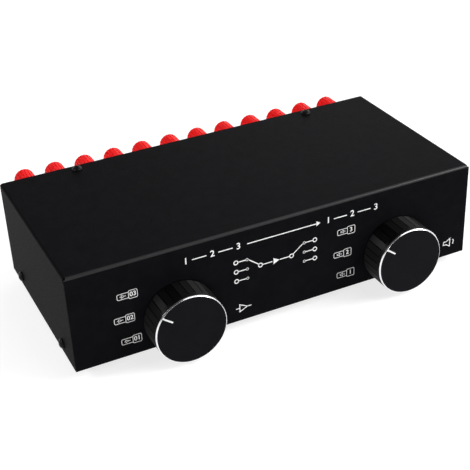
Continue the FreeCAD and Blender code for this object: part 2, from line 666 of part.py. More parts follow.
def rotor():
    """Star wheel, wiper carrier with its stop lug, and four wipers."""
    star = rod(STAR_RADIUS, (STAR_START, CARRIER_START))
    notches = int(round(360 / DETENT_STEP))
    centre = STAR_RADIUS + SCALLOP_RADIUS - SCALLOP_DEPTH
    for i in range(notches):
        point = polar(centre, 90 + DETENT_STEP * i)
        star = star.cut(rod(SCALLOP_RADIUS, (STAR_START, CARRIER_START), point.x, point.z))
    carrier_y = (CARRIER_START, WIPER_START)
    carrier = rod(CARRIER_RADIUS, carrier_y)
    lug = sector(CARRIER_RADIUS - 1, CARRIER_RADIUS + STOP_LUG_HEIGHT, STOP_LUG_ANGLE,
                 STOP_LUG_HALF_ANGLE, carrier_y)
    wheel = star.fuse(carrier).fuse(lug).removeSplitter()
    wheel = wheel.cut(rod(SHAFT_RADIUS + THREAD_CLEARANCE, (STAR_START, WIPER_START)))
    wiper_y = (WIPER_START, WIPER_START + WIPER_THICKNESS)
    step = 360.0 / WIPER_COUNT
    wipers = [spoke(WIPER_FIRST_ANGLE + step * i, (WIPER_INNER_RADIUS, WIPER_OUTER_RADIUS),
                    WIPER_WIDTH, wiper_y) for i in range(WIPER_COUNT)]
    return [wheel] + wipers


def shaft():
    """Steel shaft with a flat for the knob and a thin journal at the rear."""
    flat_end = SHAFT_FLAT_LENGTH - SHAFT_REACH
    front = d_section(SHAFT_RADIUS, SHAFT_FLAT, 270, (-SHAFT_REACH, flat_end))
    body = rod(SHAFT_RADIUS, (flat_end, WIPER_START))
    journal = rod(JOURNAL_RADIUS, (WIPER_START, HOUSING_END + END_PLATE_THICKNESS))
    return front.fuse(body).fuse(journal).removeSplitter()


# ---- knob, in the switch's frame; its front is at negative y --------------------------
def knob():
    """Fluted hollow knob whose face fills the trim ring."""
    back, seat = -KNOB_GAP, -RING_BACK
    body = fluted(KNOB_RADIUS, KNOB_GROOVES, KNOB_GROOVE_DEPTH, KNOB_LAND_SHARE,
                  (seat, back), POINTER_ANGLE)
    body = body.fuse(rod(RING_INNER_RADIUS - RING_CLEARANCE, (-KNOB_FACE, seat)))
    floor = KNOB_FACE_THICKNESS - KNOB_FACE
    cavity = KNOB_RADIUS - KNOB_WALL
    body = body.cut(rod(cavity, (floor, back)))
    body = body.fuse(rod(BOSS_RADIUS, (floor, -BOSS_END)))
    for i in range(RIB_COUNT):
        angle = 90 + 360.0 / RIB_COUNT * i
        body = body.fuse(spoke(angle, (SHAFT_RADIUS + 1, cavity + KNOB_WALL / 2), RIB_THICKNESS,
                               (floor, -BOSS_END - RIB_SETBACK)))
    body = body.removeSplitter()
    bore = SHAFT_RADIUS + THREAD_CLEARANCE
    body = body.cut(d_section(bore, SHAFT_FLAT + THREAD_CLEARANCE, 270,
                              (-SHAFT_REACH - BORE_END_GAP, -BOSS_END)))
    tapped = GRUB_SCREW_RADIUS + THREAD_CLEARANCE
    body = body.cut(radial_rod(270, (0, BOSS_RADIUS + 1), tapped, -GRUB_SCREW_REACH))
    body = body.cut(radial_rod(270, (BOSS_RADIUS, KNOB_RADIUS + 1), GRUB_ACCESS_RADIUS,
                               -GRUB_SCREW_REACH))
    groove = spoke(POINTER_ANGLE, (POINTER_INNER_RADIUS, RING_INNER_RADIUS), POINTER_WIDTH,
                   (-KNOB_FACE - 1, POINTER_DEPTH - KNOB_FACE))
    return body.cut(groove)


def knob_ring():
    """Bright trim ring: a thin band, a turned line and a bevel."""
    front, back = -KNOB_REACH, -RING_BACK
    band = back - RING_BAND
    line = band - RING_LINE
    low = KNOB_RADIUS - RING_LINE_DEPTH
    outline = [(RING_INNER_RADIUS, back), (KNOB_RADIUS, back), (KNOB_RADIUS, band), (low, band),
               (low, line), (KNOB_RADIUS, line), (RING_FACE_RADIUS, front),
               (RING_INNER_RADIUS, front)]
    return turned(outline)


def pointer():
    """White inlay in the knob's face."""
    outer = RING_INNER_RADIUS - 2 * RING_CLEARANCE
    return spoke(POINTER_ANGLE, (POINTER_INNER_RADIUS + INLAY_CLEARANCE, outer),
                 POINTER_WIDTH - 2 * INLAY_CLEARANCE,
                 (-KNOB_FACE - POINTER_PROUD, POINTER_DEPTH - KNOB_FACE))


def grub_screw():
    """Socket set screw that bears on the shaft's flat."""
    start = SHAFT_FLAT
    end = start + GRUB_SCREW_LENGTH
    screw = radial_rod(270, (start, end), GRUB_SCREW_RADIUS, -GRUB_SCREW_REACH)
    corners = [V(GRUB_SOCKET_FLATS / math.sqrt(3) * math.cos(math.radians(60 * i)),
                 GRUB_SOCKET_FLATS / math.sqrt(3) * math.sin(math.radians(60 * i)) -
                 GRUB_SCREW_REACH, -end) for i in range(6)]
    socket = Part.Face(Part.makePolygon(corners + corners[:1]))
    return screw.cut(socket.extrude(V(0, 0, GRUB_SOCKET_DEPTH)))


# ---- binding post: x and z from its axis, y outwards from the rear panel's face --------
def post_stem():
    """Metal stem with a plug socket, a cross hole for wire and a threaded tail."""
    outline = [(0, TAIL_END), (TAIL_RADIUS, TAIL_END), (TAIL_RADIUS, COLLAR_END),
               (STEM_RADIUS, COLLAR_END), (STEM_RADIUS, STEM_END), (0, STEM_END)]
    stem = turned(outline)
    stem = stem.cut(rod(SOCKET_RADIUS, (STEM_END - SOCKET_DEPTH, STEM_END)))
    hole = Part.makeCylinder(WIRE_HOLE_RADIUS, 4 * STEM_RADIUS,
                             V(0, COLLAR_END + WIRE_HOLE_OFFSET, -2 * STEM_RADIUS))
    return stem.cut(hole)


def post_collar():
    """Insulating collar outside the panel, with a spigot through it."""
    edge = COLLAR_RADIUS - COLLAR_EDGE
    outline = [(TAIL_HOLE, -SHEET), (SPIGOT_RADIUS, -SHEET), (SPIGOT_RADIUS, 0),
               (COLLAR_RADIUS, 0), (COLLAR_RADIUS, COLLAR_END - COLLAR_EDGE),
               (edge, COLLAR_END), (TAIL_HOLE, COLLAR_END)]
    return turned(outline)


def post_cap():
    """Fluted cap that screws down the stem and clamps a wire on the collar."""
    start = COLLAR_END + CAP_GAP
    grip = fluted(CAP_RADIUS, CAP_FLUTES, CAP_FLUTE_DEPTH, CAP_LAND_SHARE, (start, POST_LENGTH))
    edge = CAP_RADIUS - CAP_EDGE
    envelope = turned([(0, start), (edge + CAP_EDGE / 2, start), (CAP_RADIUS, start + CAP_EDGE / 2),
                       (CAP_RADIUS, POST_LENGTH - CAP_EDGE), (edge, POST_LENGTH),
                       (0, POST_LENGTH)])
    cap = grip.common(envelope)
    return cap.cut(rod(STEM_RADIUS + RUNNING_CLEARANCE, (start, POST_LENGTH)))


def post_inner_washer():
    """Insulating washer inside the panel; the terminal board lies on it."""
    return tube(INNER_WASHER_RADIUS, TAIL_HOLE, (WASHER_END, -SHEET))


def post_nut():
    """Nut on the tail, against the terminal board."""
    return hex_nut(POST_NUT_FLATS, TAIL_RADIUS + THREAD_CLEARANCE,
                   (TERMINAL_BOARD_FACE - POST_NUT_THICKNESS, TERMINAL_BOARD_FACE))


def terminal_board():
    """Circuit board along the rear that joins all the posts to the ribbons."""
    reach = POST_X[-1] + TERMINAL_BOARD_SIDE_MARGIN
    y = (REAR_PANEL_Y + TERMINAL_BOARD_FACE, REAR_PANEL_Y + WASHER_END)
    board = box((-reach, reach), y, (BLACK_ROW_Z - TERMINAL_BOARD_LOW_MARGIN,
                                     RED_ROW_Z + TERMINAL_BOARD_TOP_MARGIN))
    for z in (RED_ROW_Z, BLACK_ROW_Z):
        for x in POST_X:
            board = board.cut(rod(TAIL_HOLE, y, x, z))
    return board


def row(shape, z):
    """The same post piece at every place of one row."""
    return [moved(shape, x, REAR_PANEL_Y, z) for x in POST_X]


# ---- ribbon cables ----------------------------------------------------------------------
def ribbon(x):
    """Ribbon from a switch's board down and back up to the terminal board."""
    start, end = FRONT_Y + BOARD_END, REAR_PANEL_Y + TERMINAL_BOARD_FACE
    high, low = SWITCH_Z + RIBBON_RISE, SWITCH_Z - RIBBON_SAG
    middle = (RED_ROW_Z + BLACK_ROW_Z) / 2
    first, last = start + RIBBON_STRAIGHT, end - RIBBON_STRAIGHT
    path = [(start, high), (first, high), (first + RIBBON_SLOPE_RUN, low),
            (last - RIBBON_SLOPE_RUN, low), (last, middle), (end, middle)]
    points = [V(x - RIBBON_WIDTH / 2, y, z) for y, z in path]
    return bent_sheet(points, RIBBON_BEND, RIBBON_THICKNESS).extrude(V(RIBBON_WIDTH, 0, 0))


def link_ribbon():
    """Short ribbon that joins the common terminals of the two switches."""
    edge = SWITCH_BOARD_WIDTH / 2 - LINK_EDGE
    left, right = SWITCH_X[0] + edge, SWITCH_X[1] - edge
    start = FRONT_Y + BOARD_END
    path = [(left, start), (left, start + LINK_DEPTH), (right, start + LINK_DEPTH), (right, start)]
    points = [V(x, y, SWITCH_Z - LINK_WIDTH / 2) for x, y in path]
    return bent_sheet(points, LINK_BEND, RIBBON_THICKNESS).extrude(V(0, 0, LINK_WIDTH))


# ---- every node -------------------------------------------------------------------------
def at_switches(shape):
    """The same switch piece at both switches."""
    return [moved(shape, x, FRONT_Y, SWITCH_Z) for x in SWITCH_X]


def all_nodes():
    """Each node's name and its solids."""
    nodes = {
        "top_cover": [top_cover()],
        "base_chassis": [base_chassis()],
        "rear_panel": [rear_panel()],
        "cover_screws": screws(top_screw_places() + side_screw_places(), SCREW_LENGTH),
        "rear_panel_screws": screws(rear_screw_places(), SCREW_LENGTH),
        "rubber_feet": rubber_feet(),
        "foot_screws": foot_screws(),
        "switch_housings": at_switches(switch_housing()),
        "switch_bushings": at_switches(switch_bushing()),
        "bushing_washers": at_switches(bushing_washer()),
        "bushing_nuts": at_switches(bushing_nut()),
        "detent_balls": at_switches(detent_ball()),
        "detent_springs": at_switches(detent_spring()),
        "switch_end_plates": at_switches(switch_end_plate()),
        "switch_terminals": [pin for one in switch_terminals() for pin in at_switches(one)],
        "switch_boards": at_switches(switch_board()),
        "post_stems": row(post_stem(), RED_ROW_Z) + row(post_stem(), BLACK_ROW_Z),
        "red_post_collars": row(post_collar(), RED_ROW_Z),
        "black_post_collars": row(post_collar(), BLACK_ROW_Z),
        "post_inner_washers": row(post_inner_washer(), RED_ROW_Z)
                              + row(post_inner_washer(), BLACK_ROW_Z),
        "post_nuts": row(post_nut(), RED_ROW_Z) + row(post_nut(), BLACK_ROW_Z),
        "terminal_board": [terminal_board()],
        "switch_ribbons": [ribbon(x) for x in SWITCH_X],
        "link_ribbon": [link_ribbon()],
    }
    turning = {"knob": [knob()], "knob_ring": [knob_ring()], "pointer": [pointer()],
               "grub_screw": [grub_screw()], "shaft": [shaft()], "rotor": rotor()}
    for name, x in zip(SWITCH_NAMES, SWITCH_X):
        for piece, solids in turning.items():
            nodes[f"{name}_{piece}"] = [moved(solid, x, FRONT_Y, SWITCH_Z) for solid in solids]
    for colour, z in (("red", RED_ROW_Z), ("black", BLACK_ROW_Z)):
        for number, cap in enumerate(row(post_cap(), z), start=1):
            nodes[f"{colour}_cap_{number:02d}"] = [cap]
    return nodes


os.makedirs("parts", exist_ok=True)
for node, solids in all_nodes().items():
    shape = solids[0] if len(solids) == 1 else Part.makeCompound(solids)
    shape.exportStep(f"parts/{node}.step")
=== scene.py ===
"""Looks of a speaker selector box: black powder-coated case, two knobs, rows of binding posts."""

import json
import math

import bmesh
import bpy
from mathutils import Matrix, Vector

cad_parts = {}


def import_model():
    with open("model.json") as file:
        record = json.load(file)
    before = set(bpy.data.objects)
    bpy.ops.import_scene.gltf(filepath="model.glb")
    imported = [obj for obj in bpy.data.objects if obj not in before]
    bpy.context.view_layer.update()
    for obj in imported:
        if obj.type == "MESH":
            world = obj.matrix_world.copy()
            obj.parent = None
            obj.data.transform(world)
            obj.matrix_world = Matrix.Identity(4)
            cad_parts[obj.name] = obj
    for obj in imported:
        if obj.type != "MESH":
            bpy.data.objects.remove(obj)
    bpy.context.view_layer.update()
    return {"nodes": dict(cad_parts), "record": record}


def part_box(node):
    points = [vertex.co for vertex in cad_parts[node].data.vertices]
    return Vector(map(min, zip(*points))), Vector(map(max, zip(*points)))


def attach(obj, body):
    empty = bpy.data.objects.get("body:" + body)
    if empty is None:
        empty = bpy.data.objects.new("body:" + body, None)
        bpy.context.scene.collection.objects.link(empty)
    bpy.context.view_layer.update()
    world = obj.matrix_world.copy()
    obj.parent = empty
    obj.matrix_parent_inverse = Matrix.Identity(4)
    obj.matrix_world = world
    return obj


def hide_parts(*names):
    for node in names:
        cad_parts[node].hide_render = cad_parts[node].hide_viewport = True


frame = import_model()
NODES = frame["nodes"]
MM = 0.001

# ---------------------------------------------------------------- camera
PHOTO_PIXELS = 470
SENSOR_MM = 36.0
CAMERA_PLACE = (-0.2286, -0.4952, 0.3458)
CAMERA_AZIMUTH = 24.652       # degrees that the view turns from +Y towards +X
CAMERA_DROP = 30.620          # degrees that it looks down
CAMERA_ROLL = -2.681          # degrees
CAMERA_CLIP = (0.01, 20.0)
FOCAL_PIXELS = 1085.2
SHIFT_PIXELS = (-0.7, -0.4)   # how far the picture moves right and down

# ---------------------------------------------------------------- places read from the frame
CASE_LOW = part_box("top_cover")[0]
FRONT_Y = CASE_LOW.y
REAR_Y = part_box("rear_panel")[1].y
CASE_BOTTOM = CASE_LOW.z
KNOBS = ("amp", "speaker")
POSTS_PER_ROW = 12


def middle(node):
    """The centre of a CAD node's box."""
    low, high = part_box(node)
    return (low + high) / 2


KNOB_AXIS = {name: middle(f"{name}_knob_ring") for name in KNOBS}
RED_ROW = [middle(f"red_cap_{i:02d}") for i in range(1, POSTS_PER_ROW + 1)]
BLACK_ROW = [middle(f"black_cap_{i:02d}") for i in range(1, POSTS_PER_ROW + 1)]


# ---------------------------------------------------------------- node helpers
def add(tree, kind, inputs=None, **settings):
    """Adds a node, sets its properties, and gives each input a value or another node's output."""
    made = tree.nodes.new(kind)
    for key, value in settings.items():
        setattr(made, key, value)
    for key, value in (inputs or {}).items():
        if isinstance(value, bpy.types.NodeSocket):
            tree.links.new(value, made.inputs[key])
        else:
            made.inputs[key].default_value = value
    return made


def empty_tree(owner):
    """The node tree of a new material or world, without its first nodes."""
    owner.use_nodes = True
    owner.node_tree.nodes.clear()
    return owner.node_tree


def place(tree):
    """The point on the surface, in the object's own metres."""
    return add(tree, "ShaderNodeTexCoord").outputs["Object"]


def noise(tree, size, detail=2.0, at=None):
    """Noise whose lumps are about this many metres across."""
    vector = place(tree) if at is None else at
    return add(tree, "ShaderNodeTexNoise",
               {"Vector": vector, "Scale": 1.0 / size, "Detail": detail}).outputs[0]


def remap(tree, value, low, high, from_low=0.3, from_high=0.7):
    """The value stretched from its own span to low..high."""
    return add(tree, "ShaderNodeMapRange", {
        "Value": value, "From Min": from_low, "From Max": from_high,
        "To Min": low, "To Max": high}).outputs[0]


def blend_colours(tree, value, first, second, start=0.3, end=0.7):
    """A colour that goes from first to second as value goes from start to end."""
    ramp = add(tree, "ShaderNodeValToRGB", {"Fac": value})
    for element, at, colour in zip(ramp.color_ramp.elements, (start, end), (first, second)):
        element.position = at
        element.color = (*colour, 1.0)
    return ramp.outputs["Color"]


def math_node(tree, operation, first, second=0.0):
    """The result of a sum on two values; SINE takes only the first."""
    return add(tree, "ShaderNodeMath", {0: first, 1: second}, operation=operation).outputs[0]


def vector_node(tree, operation, output, *vectors):
    """One output of a sum on one or two vectors."""
    inputs = dict(enumerate(vectors))
    return add(tree, "ShaderNodeVectorMath", inputs, operation=operation).outputs[output]


def bump(tree, height, depth, below=None):
    """A normal that follows height, which is depth metres deep."""
    inputs = {"Height": height, "Strength": 1.0, "Distance": depth}
    if below is not None:
        inputs["Normal"] = below
    return add(tree, "ShaderNodeBump", inputs).outputs[0]


def material(name, build):
    """A material of one Principled shader, with the sockets that build(tree) returns."""
    made = bpy.data.materials.new(name)
    tree = empty_tree(made)
    shader = add(tree, "ShaderNodeBsdfPrincipled", build(tree))
    add(tree, "ShaderNodeOutputMaterial", {"Surface": shader.outputs[0]})
    return made


# ---------------------------------------------------------------- materials
# Sizes of noise and depths of bump are in metres, colours are linear.
FOLD_COAT = 0.8               # weight of the smooth coat on the long fold
FOLD_FACING = (-0.25, -0.03)  # normal's Y times Z, from the full coat to none
LATHE_WOBBLE = 3.0            # radians that noise moves a turned circle
FIBRE_DRAW = (1.0, 1.0, 6.0)  # the laminate's fibres are squeezed this much along Z
WIRES_SCALE = 120.0           # of the wave that stands for a ribbon's wires
WIRES_WAVER = 0.3


def long_fold(tree):
    """FOLD_COAT on the fold between top and front, which faces up and forward, 0 on the flats."""
    facing = add(tree, "ShaderNodeSeparateXYZ",
                 {"Vector": add(tree, "ShaderNodeTexCoord").outputs["Normal"]})
    both = math_node(tree, "MULTIPLY", facing.outputs["Y"], facing.outputs["Z"])
    return remap(tree, both, FOLD_COAT, 0.0, *FOLD_FACING)


def powder_coat(tree):
    """Fine black powder coat: low sheen, orange peel and finer grit, smooth over the long fold."""
    mottle = noise(tree, 0.006, 3.0)
    peel = noise(tree, 0.0011, 2.0)
    grit = noise(tree, 0.00035, 1.0)
    return {"Base Color": blend_colours(tree, mottle,
                                        (0.0034, 0.0034, 0.0042), (0.0048, 0.0048, 0.0058)),
            "Roughness": remap(tree, peel, 0.49, 0.60), "Specular IOR Level": 0.013,
            "Coat Weight": long_fold(tree), "Coat Roughness": 0.3,
            "Normal": bump(tree, grit, 0.000012, bump(tree, peel, 0.00004))}


def screw_black(tree):
    """Black oxide on steel, with the metal showing a little where it is rubbed."""
    wear = noise(tree, 0.0012, 4.0)
    return {"Base Color": blend_colours(tree, wear, (0.003, 0.003, 0.0034),
                                        (0.010, 0.010, 0.010), 0.45, 0.75),
            "Metallic": 0.3, "Roughness": remap(tree, wear, 0.30, 0.45),
            "Specular IOR Level": 0.15, "Normal": bump(tree, noise(tree, 0.0004, 2.0), 0.00001)}


def rubber(tree):
    """Matte black rubber."""
    mottle = noise(tree, 0.002, 4.0)
    return {"Base Color": blend_colours(tree, mottle, (0.010, 0.010, 0.011), (0.018, 0.018, 0.018)),
            "Roughness": remap(tree, mottle, 0.7, 0.85), "Specular IOR Level": 0.3,
            "Normal": bump(tree, noise(tree, 0.0005, 3.0), 0.00003)}


def turned_circles(tree, axis, pitch):
    """Height of the fine circles that a lathe leaves around an axis along Y."""
    offset = vector_node(tree, "SUBTRACT", 0, place(tree), tuple(axis))
    across = vector_node(tree, "MULTIPLY", 0, offset, (1.0, 0.0, 1.0))
    radius = vector_node(tree, "LENGTH", "Value", across)
    wobble = noise(tree, 0.004, 2.0)
    phase = math_node(tree, "ADD", math_node(tree, "MULTIPLY", radius, 2 * math.pi / pitch),
                      math_node(tree, "MULTIPLY", wobble, LATHE_WOBBLE))
    return math_node(tree, "SINE", phase)


def knob_grip(tree):
    """Black anodised lands, turned across, so that light draws out into strips along the knob."""
    smudge = noise(tree, 0.005, 3.0)
    around = add(tree, "ShaderNodeTangent", direction_type="RADIAL", axis="Y").outputs[0]
    return {"Base Color": blend_colours(tree, smudge,
                                        (0.0008, 0.0008, 0.0010), (0.0014, 0.0014, 0.0017)),
            "Roughness": remap(tree, smudge, 0.46, 0.52), "Specular IOR Level": 0.16,
            "Anisotropic": 1.0, "Anisotropic Rotation": 0.25, "Tangent": around,
            "Normal": bump(tree, noise(tree, 0.0006, 2.0), 0.000002)}


def knob_face(axis):
    """Matte black face with faint turning marks."""
    def build(tree):
        smudge = noise(tree, 0.006, 3.0)
        return {"Base Color": blend_colours(tree, smudge,
                                            (0.0034, 0.0034, 0.0045), (0.0048, 0.0048, 0.0062)),
                "Roughness": remap(tree, smudge, 0.44, 0.54), "Specular IOR Level": 0.04,
                "Normal": bump(tree, turned_circles(tree, axis, 0.0009), 0.000002)}
    return build


def chrome(axis):
    """Turned and polished trim ring."""
    def build(tree):
        smudge = noise(tree, 0.004, 3.0)
        return {"Base Color": blend_colours(tree, smudge, (0.80, 0.80, 0.82), (0.88, 0.88, 0.89)),
                "Metallic": 1.0, "Roughness": remap(tree, smudge, 0.18, 0.24),
                "Normal": bump(tree, turned_circles(tree, axis, 0.00025), 0.0000005)}
    return build


def white_ink(tree):
    """Screen-printed white: slightly uneven cover with a fine texture."""
    cover = noise(tree, 0.0008, 3.0)
    return {"Base Color": blend_colours(tree, cover, (0.78, 0.78, 0.78), (0.88, 0.88, 0.88)),
            "Roughness": remap(tree, cover, 0.45, 0.6), "Specular IOR Level": 0.3,
            "Normal": bump(tree, noise(tree, 0.0004, 2.0), 0.00001)}


def plated(first, second, low, high):
    """A plated metal part: two close colours and a roughness span."""
    def build(tree):
        tarnish = noise(tree, 0.003, 4.0)
        fine = noise(tree, 0.0005, 3.0)
        return {"Base Color": blend_colours(tree, tarnish, first, second), "Metallic": 1.0,
                "Roughness": remap(tree, fine, low, high), "Normal": bump(tree, fine, 0.000006)}
    return build


def red_plastic(tree):
    """Bright red, slightly milky moulded plastic."""
    flow = noise(tree, 0.004, 3.0)
    return {"Base Color": blend_colours(tree, flow, (0.93, 0.008, 0.009), (0.97, 0.014, 0.014)),
            "Roughness": remap(tree, flow, 0.42, 0.52), "Specular IOR Level": 0.08,
            "Subsurface Weight": 0.2, "Subsurface Radius": (0.002, 0.0004, 0.0003),
            "Subsurface Scale": 1.0, "Normal": bump(tree, noise(tree, 0.0006, 2.0), 0.000012)}


def moulded(first, second, low, high):
    """A moulded plastic part: two close colours and a roughness span."""
    def build(tree):
        flow = noise(tree, 0.004, 3.0)
        return {"Base Color": blend_colours(tree, flow, first, second),
                "Roughness": remap(tree, flow, low, high), "Specular IOR Level": 0.4,
                "Normal": bump(tree, noise(tree, 0.0006, 2.0), 0.000012)}
    return build


def laminate(tree):
    """Brown paper laminate, with its fibres."""
    drawn = add(tree, "ShaderNodeMapping", {"Vector": place(tree), "Scale": FIBRE_DRAW}).outputs[0]
    fibre = noise(tree, 0.002, 5.0, drawn)
    return {"Base Color": blend_colours(tree, fibre, (0.16, 0.07, 0.025), (0.27, 0.13, 0.05)),
            "Roughness": remap(tree, fibre, 0.4, 0.6), "Normal": bump(tree, fibre, 0.00002)}


def board_green(tree):
    """Solder mask over a woven board, with darker copper-free areas."""
    weave = noise(tree, 0.0012, 2.0)
    area = noise(tree, 0.012, 1.0)
    return {"Base Color": blend_colours(tree, area, (0.012, 0.10, 0.035),
                                        (0.02, 0.17, 0.06), 0.46, 0.54),
            "Roughness": remap(tree, weave, 0.22, 0.34), "Normal": bump(tree, weave, 0.00001)}


def ribbon_grey(tree):
    """Flat cable: parallel wires under one grey jacket."""
    wires = add(tree, "ShaderNodeTexWave", {"Vector": place(tree), "Scale": WIRES_SCALE,
                                            "Distortion": WIRES_WAVER}).outputs[1]
    flow = noise(tree, 0.01, 2.0)
    return {"Base Color": blend_colours(tree, flow, (0.22, 0.22, 0.24), (0.30, 0.30, 0.31)),
            "Roughness": remap(tree, flow, 0.45, 0.6), "Normal": bump(tree, wires, 0.0001)}


FINISHES = {
    "powder_black": powder_coat,
    "screw_black": screw_black,
    "rubber": rubber,
    "knob_black": knob_grip,
    "pointer_white": white_ink,
    "zinc_steel": plated((0.50, 0.50, 0.50), (0.62, 0.61, 0.58), 0.25, 0.4),
    "gilt_brass": plated((0.85, 0.58, 0.22), (0.93, 0.68, 0.30), 0.14, 0.28),
    "tinned_brass": plated((0.60, 0.57, 0.50), (0.72, 0.70, 0.64), 0.25, 0.4),
    "red_plastic": red_plastic,
    "black_plastic": moulded((0.008, 0.008, 0.009), (0.014, 0.014, 0.014), 0.28, 0.4),
    "switch_plastic": moulded((0.012, 0.012, 0.013), (0.022, 0.022, 0.022), 0.45, 0.6),
    "laminate": laminate,
    "board_green": board_green,
    "ribbon_grey": ribbon_grey,
}


def dress_nodes():
    """Gives every CAD node the material of its slot; rings and faces get one for their own axis."""
    made = {slot: material(slot, build) for slot, build in FINISHES.items()}
    for name in KNOBS:
        made[f"{name}_knob_ring"] = material(f"{name}_ring_chrome", chrome(KNOB_AXIS[name]))
        made[f"{name}_face"] = material(f"{name}_knob_face", knob_face(KNOB_AXIS[name]))
    for part in frame["record"]["subparts"]:
        node, slot = part["node"], part["material_slot"]
        NODES[node].material_slots[0].material = made.get(node) or made[slot]
    return made


# ---------------------------------------------------------------- mesh helpers
def shown(data, *finishes):
    """A new object in the scene, with this mesh and these materials."""
    for finish in finishes:
        data.materials.append(finish)
    piece = bpy.data.objects.new(data.name, data)
    bpy.context.scene.collection.objects.link(piece)
    return piece


def as_data(mesh, name):
    """The bmesh as mesh data of this name; the bmesh is freed."""
    data = bpy.data.meshes.new(name)
    mesh.to_mesh(data)
    mesh.free()
    return data


def circle(centre, radius, count=24, start=0.0, sweep=2 * math.pi):
    """Points round a circle, or along an arc of it."""
    steps = count if sweep >= 2 * math.pi else count - 1
    return [(centre[0] + radius * math.cos(start + sweep * i / steps),
             centre[1] + radius * math.sin(start + sweep * i / steps)) for i in range(count)]


# ---------------------------------------------------------------- knobs
KNOB_RADIUS = 20.0 * MM
LANDS = 30
LAND_SHARE = 0.88                       # of the step from land to land, the rest is the flute
LAND_DEPTH = 0.02 * MM                  # corners this near to the knob's radius lie on a land
LAND_SHARP = math.radians(20)
SAME_PLACE = 0.001 * MM                 # the CAD mesh's corners this near are joined
POINTER_TURN = math.radians(142.3)      # of the mark, and of the middle of one land
RING_PROFILE = (                        # radius, and depth behind the ring's front, in mm
    (18.30, 2.00), (19.40, 2.00), (19.40, 3.10), (19.98, 3.10), (20.00, 3.06), (20.00, 3.00),
    (19.92, 2.92), (20.00, 2.88), (20.00, 0.70), (19.98, 0.62), (19.47, 0.05), (19.40, 0.00),
    (19.34, 0.02), (19.32, 0.19), (18.30, 0.19))
RING_BRIGHT = (9, 10, 11)               # the runs of the profile that are cut bright
RING_STEPS = 180
RING_SHARP = math.radians(35)
FACE_RADIUS = 19.29 * MM
FACE_SUNK = 0.02 * MM                   # face disc behind the ring's front
FACE_EDGE = 0.04 * MM
FACE_STEPS = 121
POINTER_INNER = 12.8 * MM
POINTER_HALF = 0.48 * MM
POINTER_SLACK = 0.02 * MM
POINTER_EASE = 0.05 * MM                # radius of its front edges
SLOT_TURN_SLACK = 1e-6                  # radians that the disc stops short of the slot


def flat_lands(name, finish):
    """The knob with each land between two flutes cut flat, as on a many-sided bar."""
    data = NODES[f"{name}_knob"].data.copy()
    data.name = f"{name}_knob_grip"
    axis = KNOB_AXIS[name]
    pitch = 2 * math.pi / LANDS
    flat_radius = KNOB_RADIUS * math.cos(pitch / 2 * LAND_SHARE)
    mesh = bmesh.new()
    mesh.from_mesh(data)
    bmesh.ops.remove_doubles(mesh, verts=mesh.verts, dist=SAME_PLACE)
    for vert in mesh.verts:
        x, z = vert.co.x - axis.x, vert.co.z - axis.z
        if math.hypot(x, z) < KNOB_RADIUS - LAND_DEPTH:
            continue
        turn = math.atan2(z, x)
        off = (turn - POINTER_TURN + pitch / 2) % pitch - pitch / 2
        reach = flat_radius / math.cos(off)
        vert.co.x, vert.co.z = axis.x + reach * math.cos(turn), axis.z + reach * math.sin(turn)
    mesh.to_mesh(data)
    mesh.free()
    if data.has_custom_normals:
        data.attributes.remove(data.attributes["custom_normal"])
    data.shade_smooth()
    data.set_sharp_from_angle(angle=LAND_SHARP)
    data.materials.clear()
    piece = shown(data, finish)
    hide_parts(f"{name}_knob")
    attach(piece, f"{name}_selector")


def trim_ring(name, bright, dark):
    """The ring turned from its profile: a bright bevel and edge, and black behind them."""
    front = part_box(f"{name}_knob_ring")[0].y
    axis = KNOB_AXIS[name]
    mesh = bmesh.new()
    rows = []
    for radius, depth in RING_PROFILE:
        rows.append([mesh.verts.new((axis.x + x, front + depth * MM, axis.z + z))
                     for x, z in circle((0, 0), radius * MM, RING_STEPS)])
    for run, row in enumerate(rows):
        following = rows[(run + 1) % len(rows)]
        for i in range(RING_STEPS):
            k = (i + 1) % RING_STEPS
            face = mesh.faces.new((row[i], row[k], following[k], following[i]))
            face.material_index = 0 if run in RING_BRIGHT else 1
            face.smooth = True
    bmesh.ops.recalc_face_normals(mesh, faces=mesh.faces)
    data = as_data(mesh, f"{name}_trim_ring")
    data.set_sharp_from_angle(angle=RING_SHARP)
    piece = shown(data, bright, dark)
    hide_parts(f"{name}_knob_ring")
    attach(piece, f"{name}_selector")


def face_disc(name, finish):
    """A thin matte disc that fills the ring, open where the pointer is set in."""
    axis = KNOB_AXIS[name]
    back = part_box(f"{name}_knob")[0].y
    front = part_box(f"{name}_knob_ring")[0].y + FACE_SUNK
    mesh = bmesh.new()

    def row(radius, y):
        """Points round the disc at this radius, from one side of the slot to the other."""
        gap = math.asin(POINTER_HALF / radius)
        sweep = 2 * (math.pi - gap) - SLOT_TURN_SLACK
        return [mesh.verts.new((axis.x + x, y, axis.z + z))
                for x, z in circle((0, 0), radius, FACE_STEPS, POINTER_TURN + gap, sweep)]

    rows = [row(POINTER_INNER, back), row(FACE_RADIUS, back), row(FACE_RADIUS, front + FACE_EDGE),
            row(FACE_RADIUS - FACE_EDGE, front), row(POINTER_INNER, front)]
    for here, following in zip(rows, rows[1:]):
        for k in range(FACE_STEPS - 1):
            mesh.faces.new((here[k], here[k + 1], following[k + 1], following[k]))
    for end in (0, -1):
        mesh.faces.new([here[end] for here in rows])
    for inner in (rows[0], rows[-1]):
        mesh.faces.new(inner)
    mesh.faces.new((rows[0][0], rows[0][-1], rows[-1][-1], rows[-1][0]))
    bmesh.ops.recalc_face_normals(mesh, faces=mesh.faces)
    piece = shown(as_data(mesh, f"{name}_face_disc"), finish)
    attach(piece, f"{name}_selector")


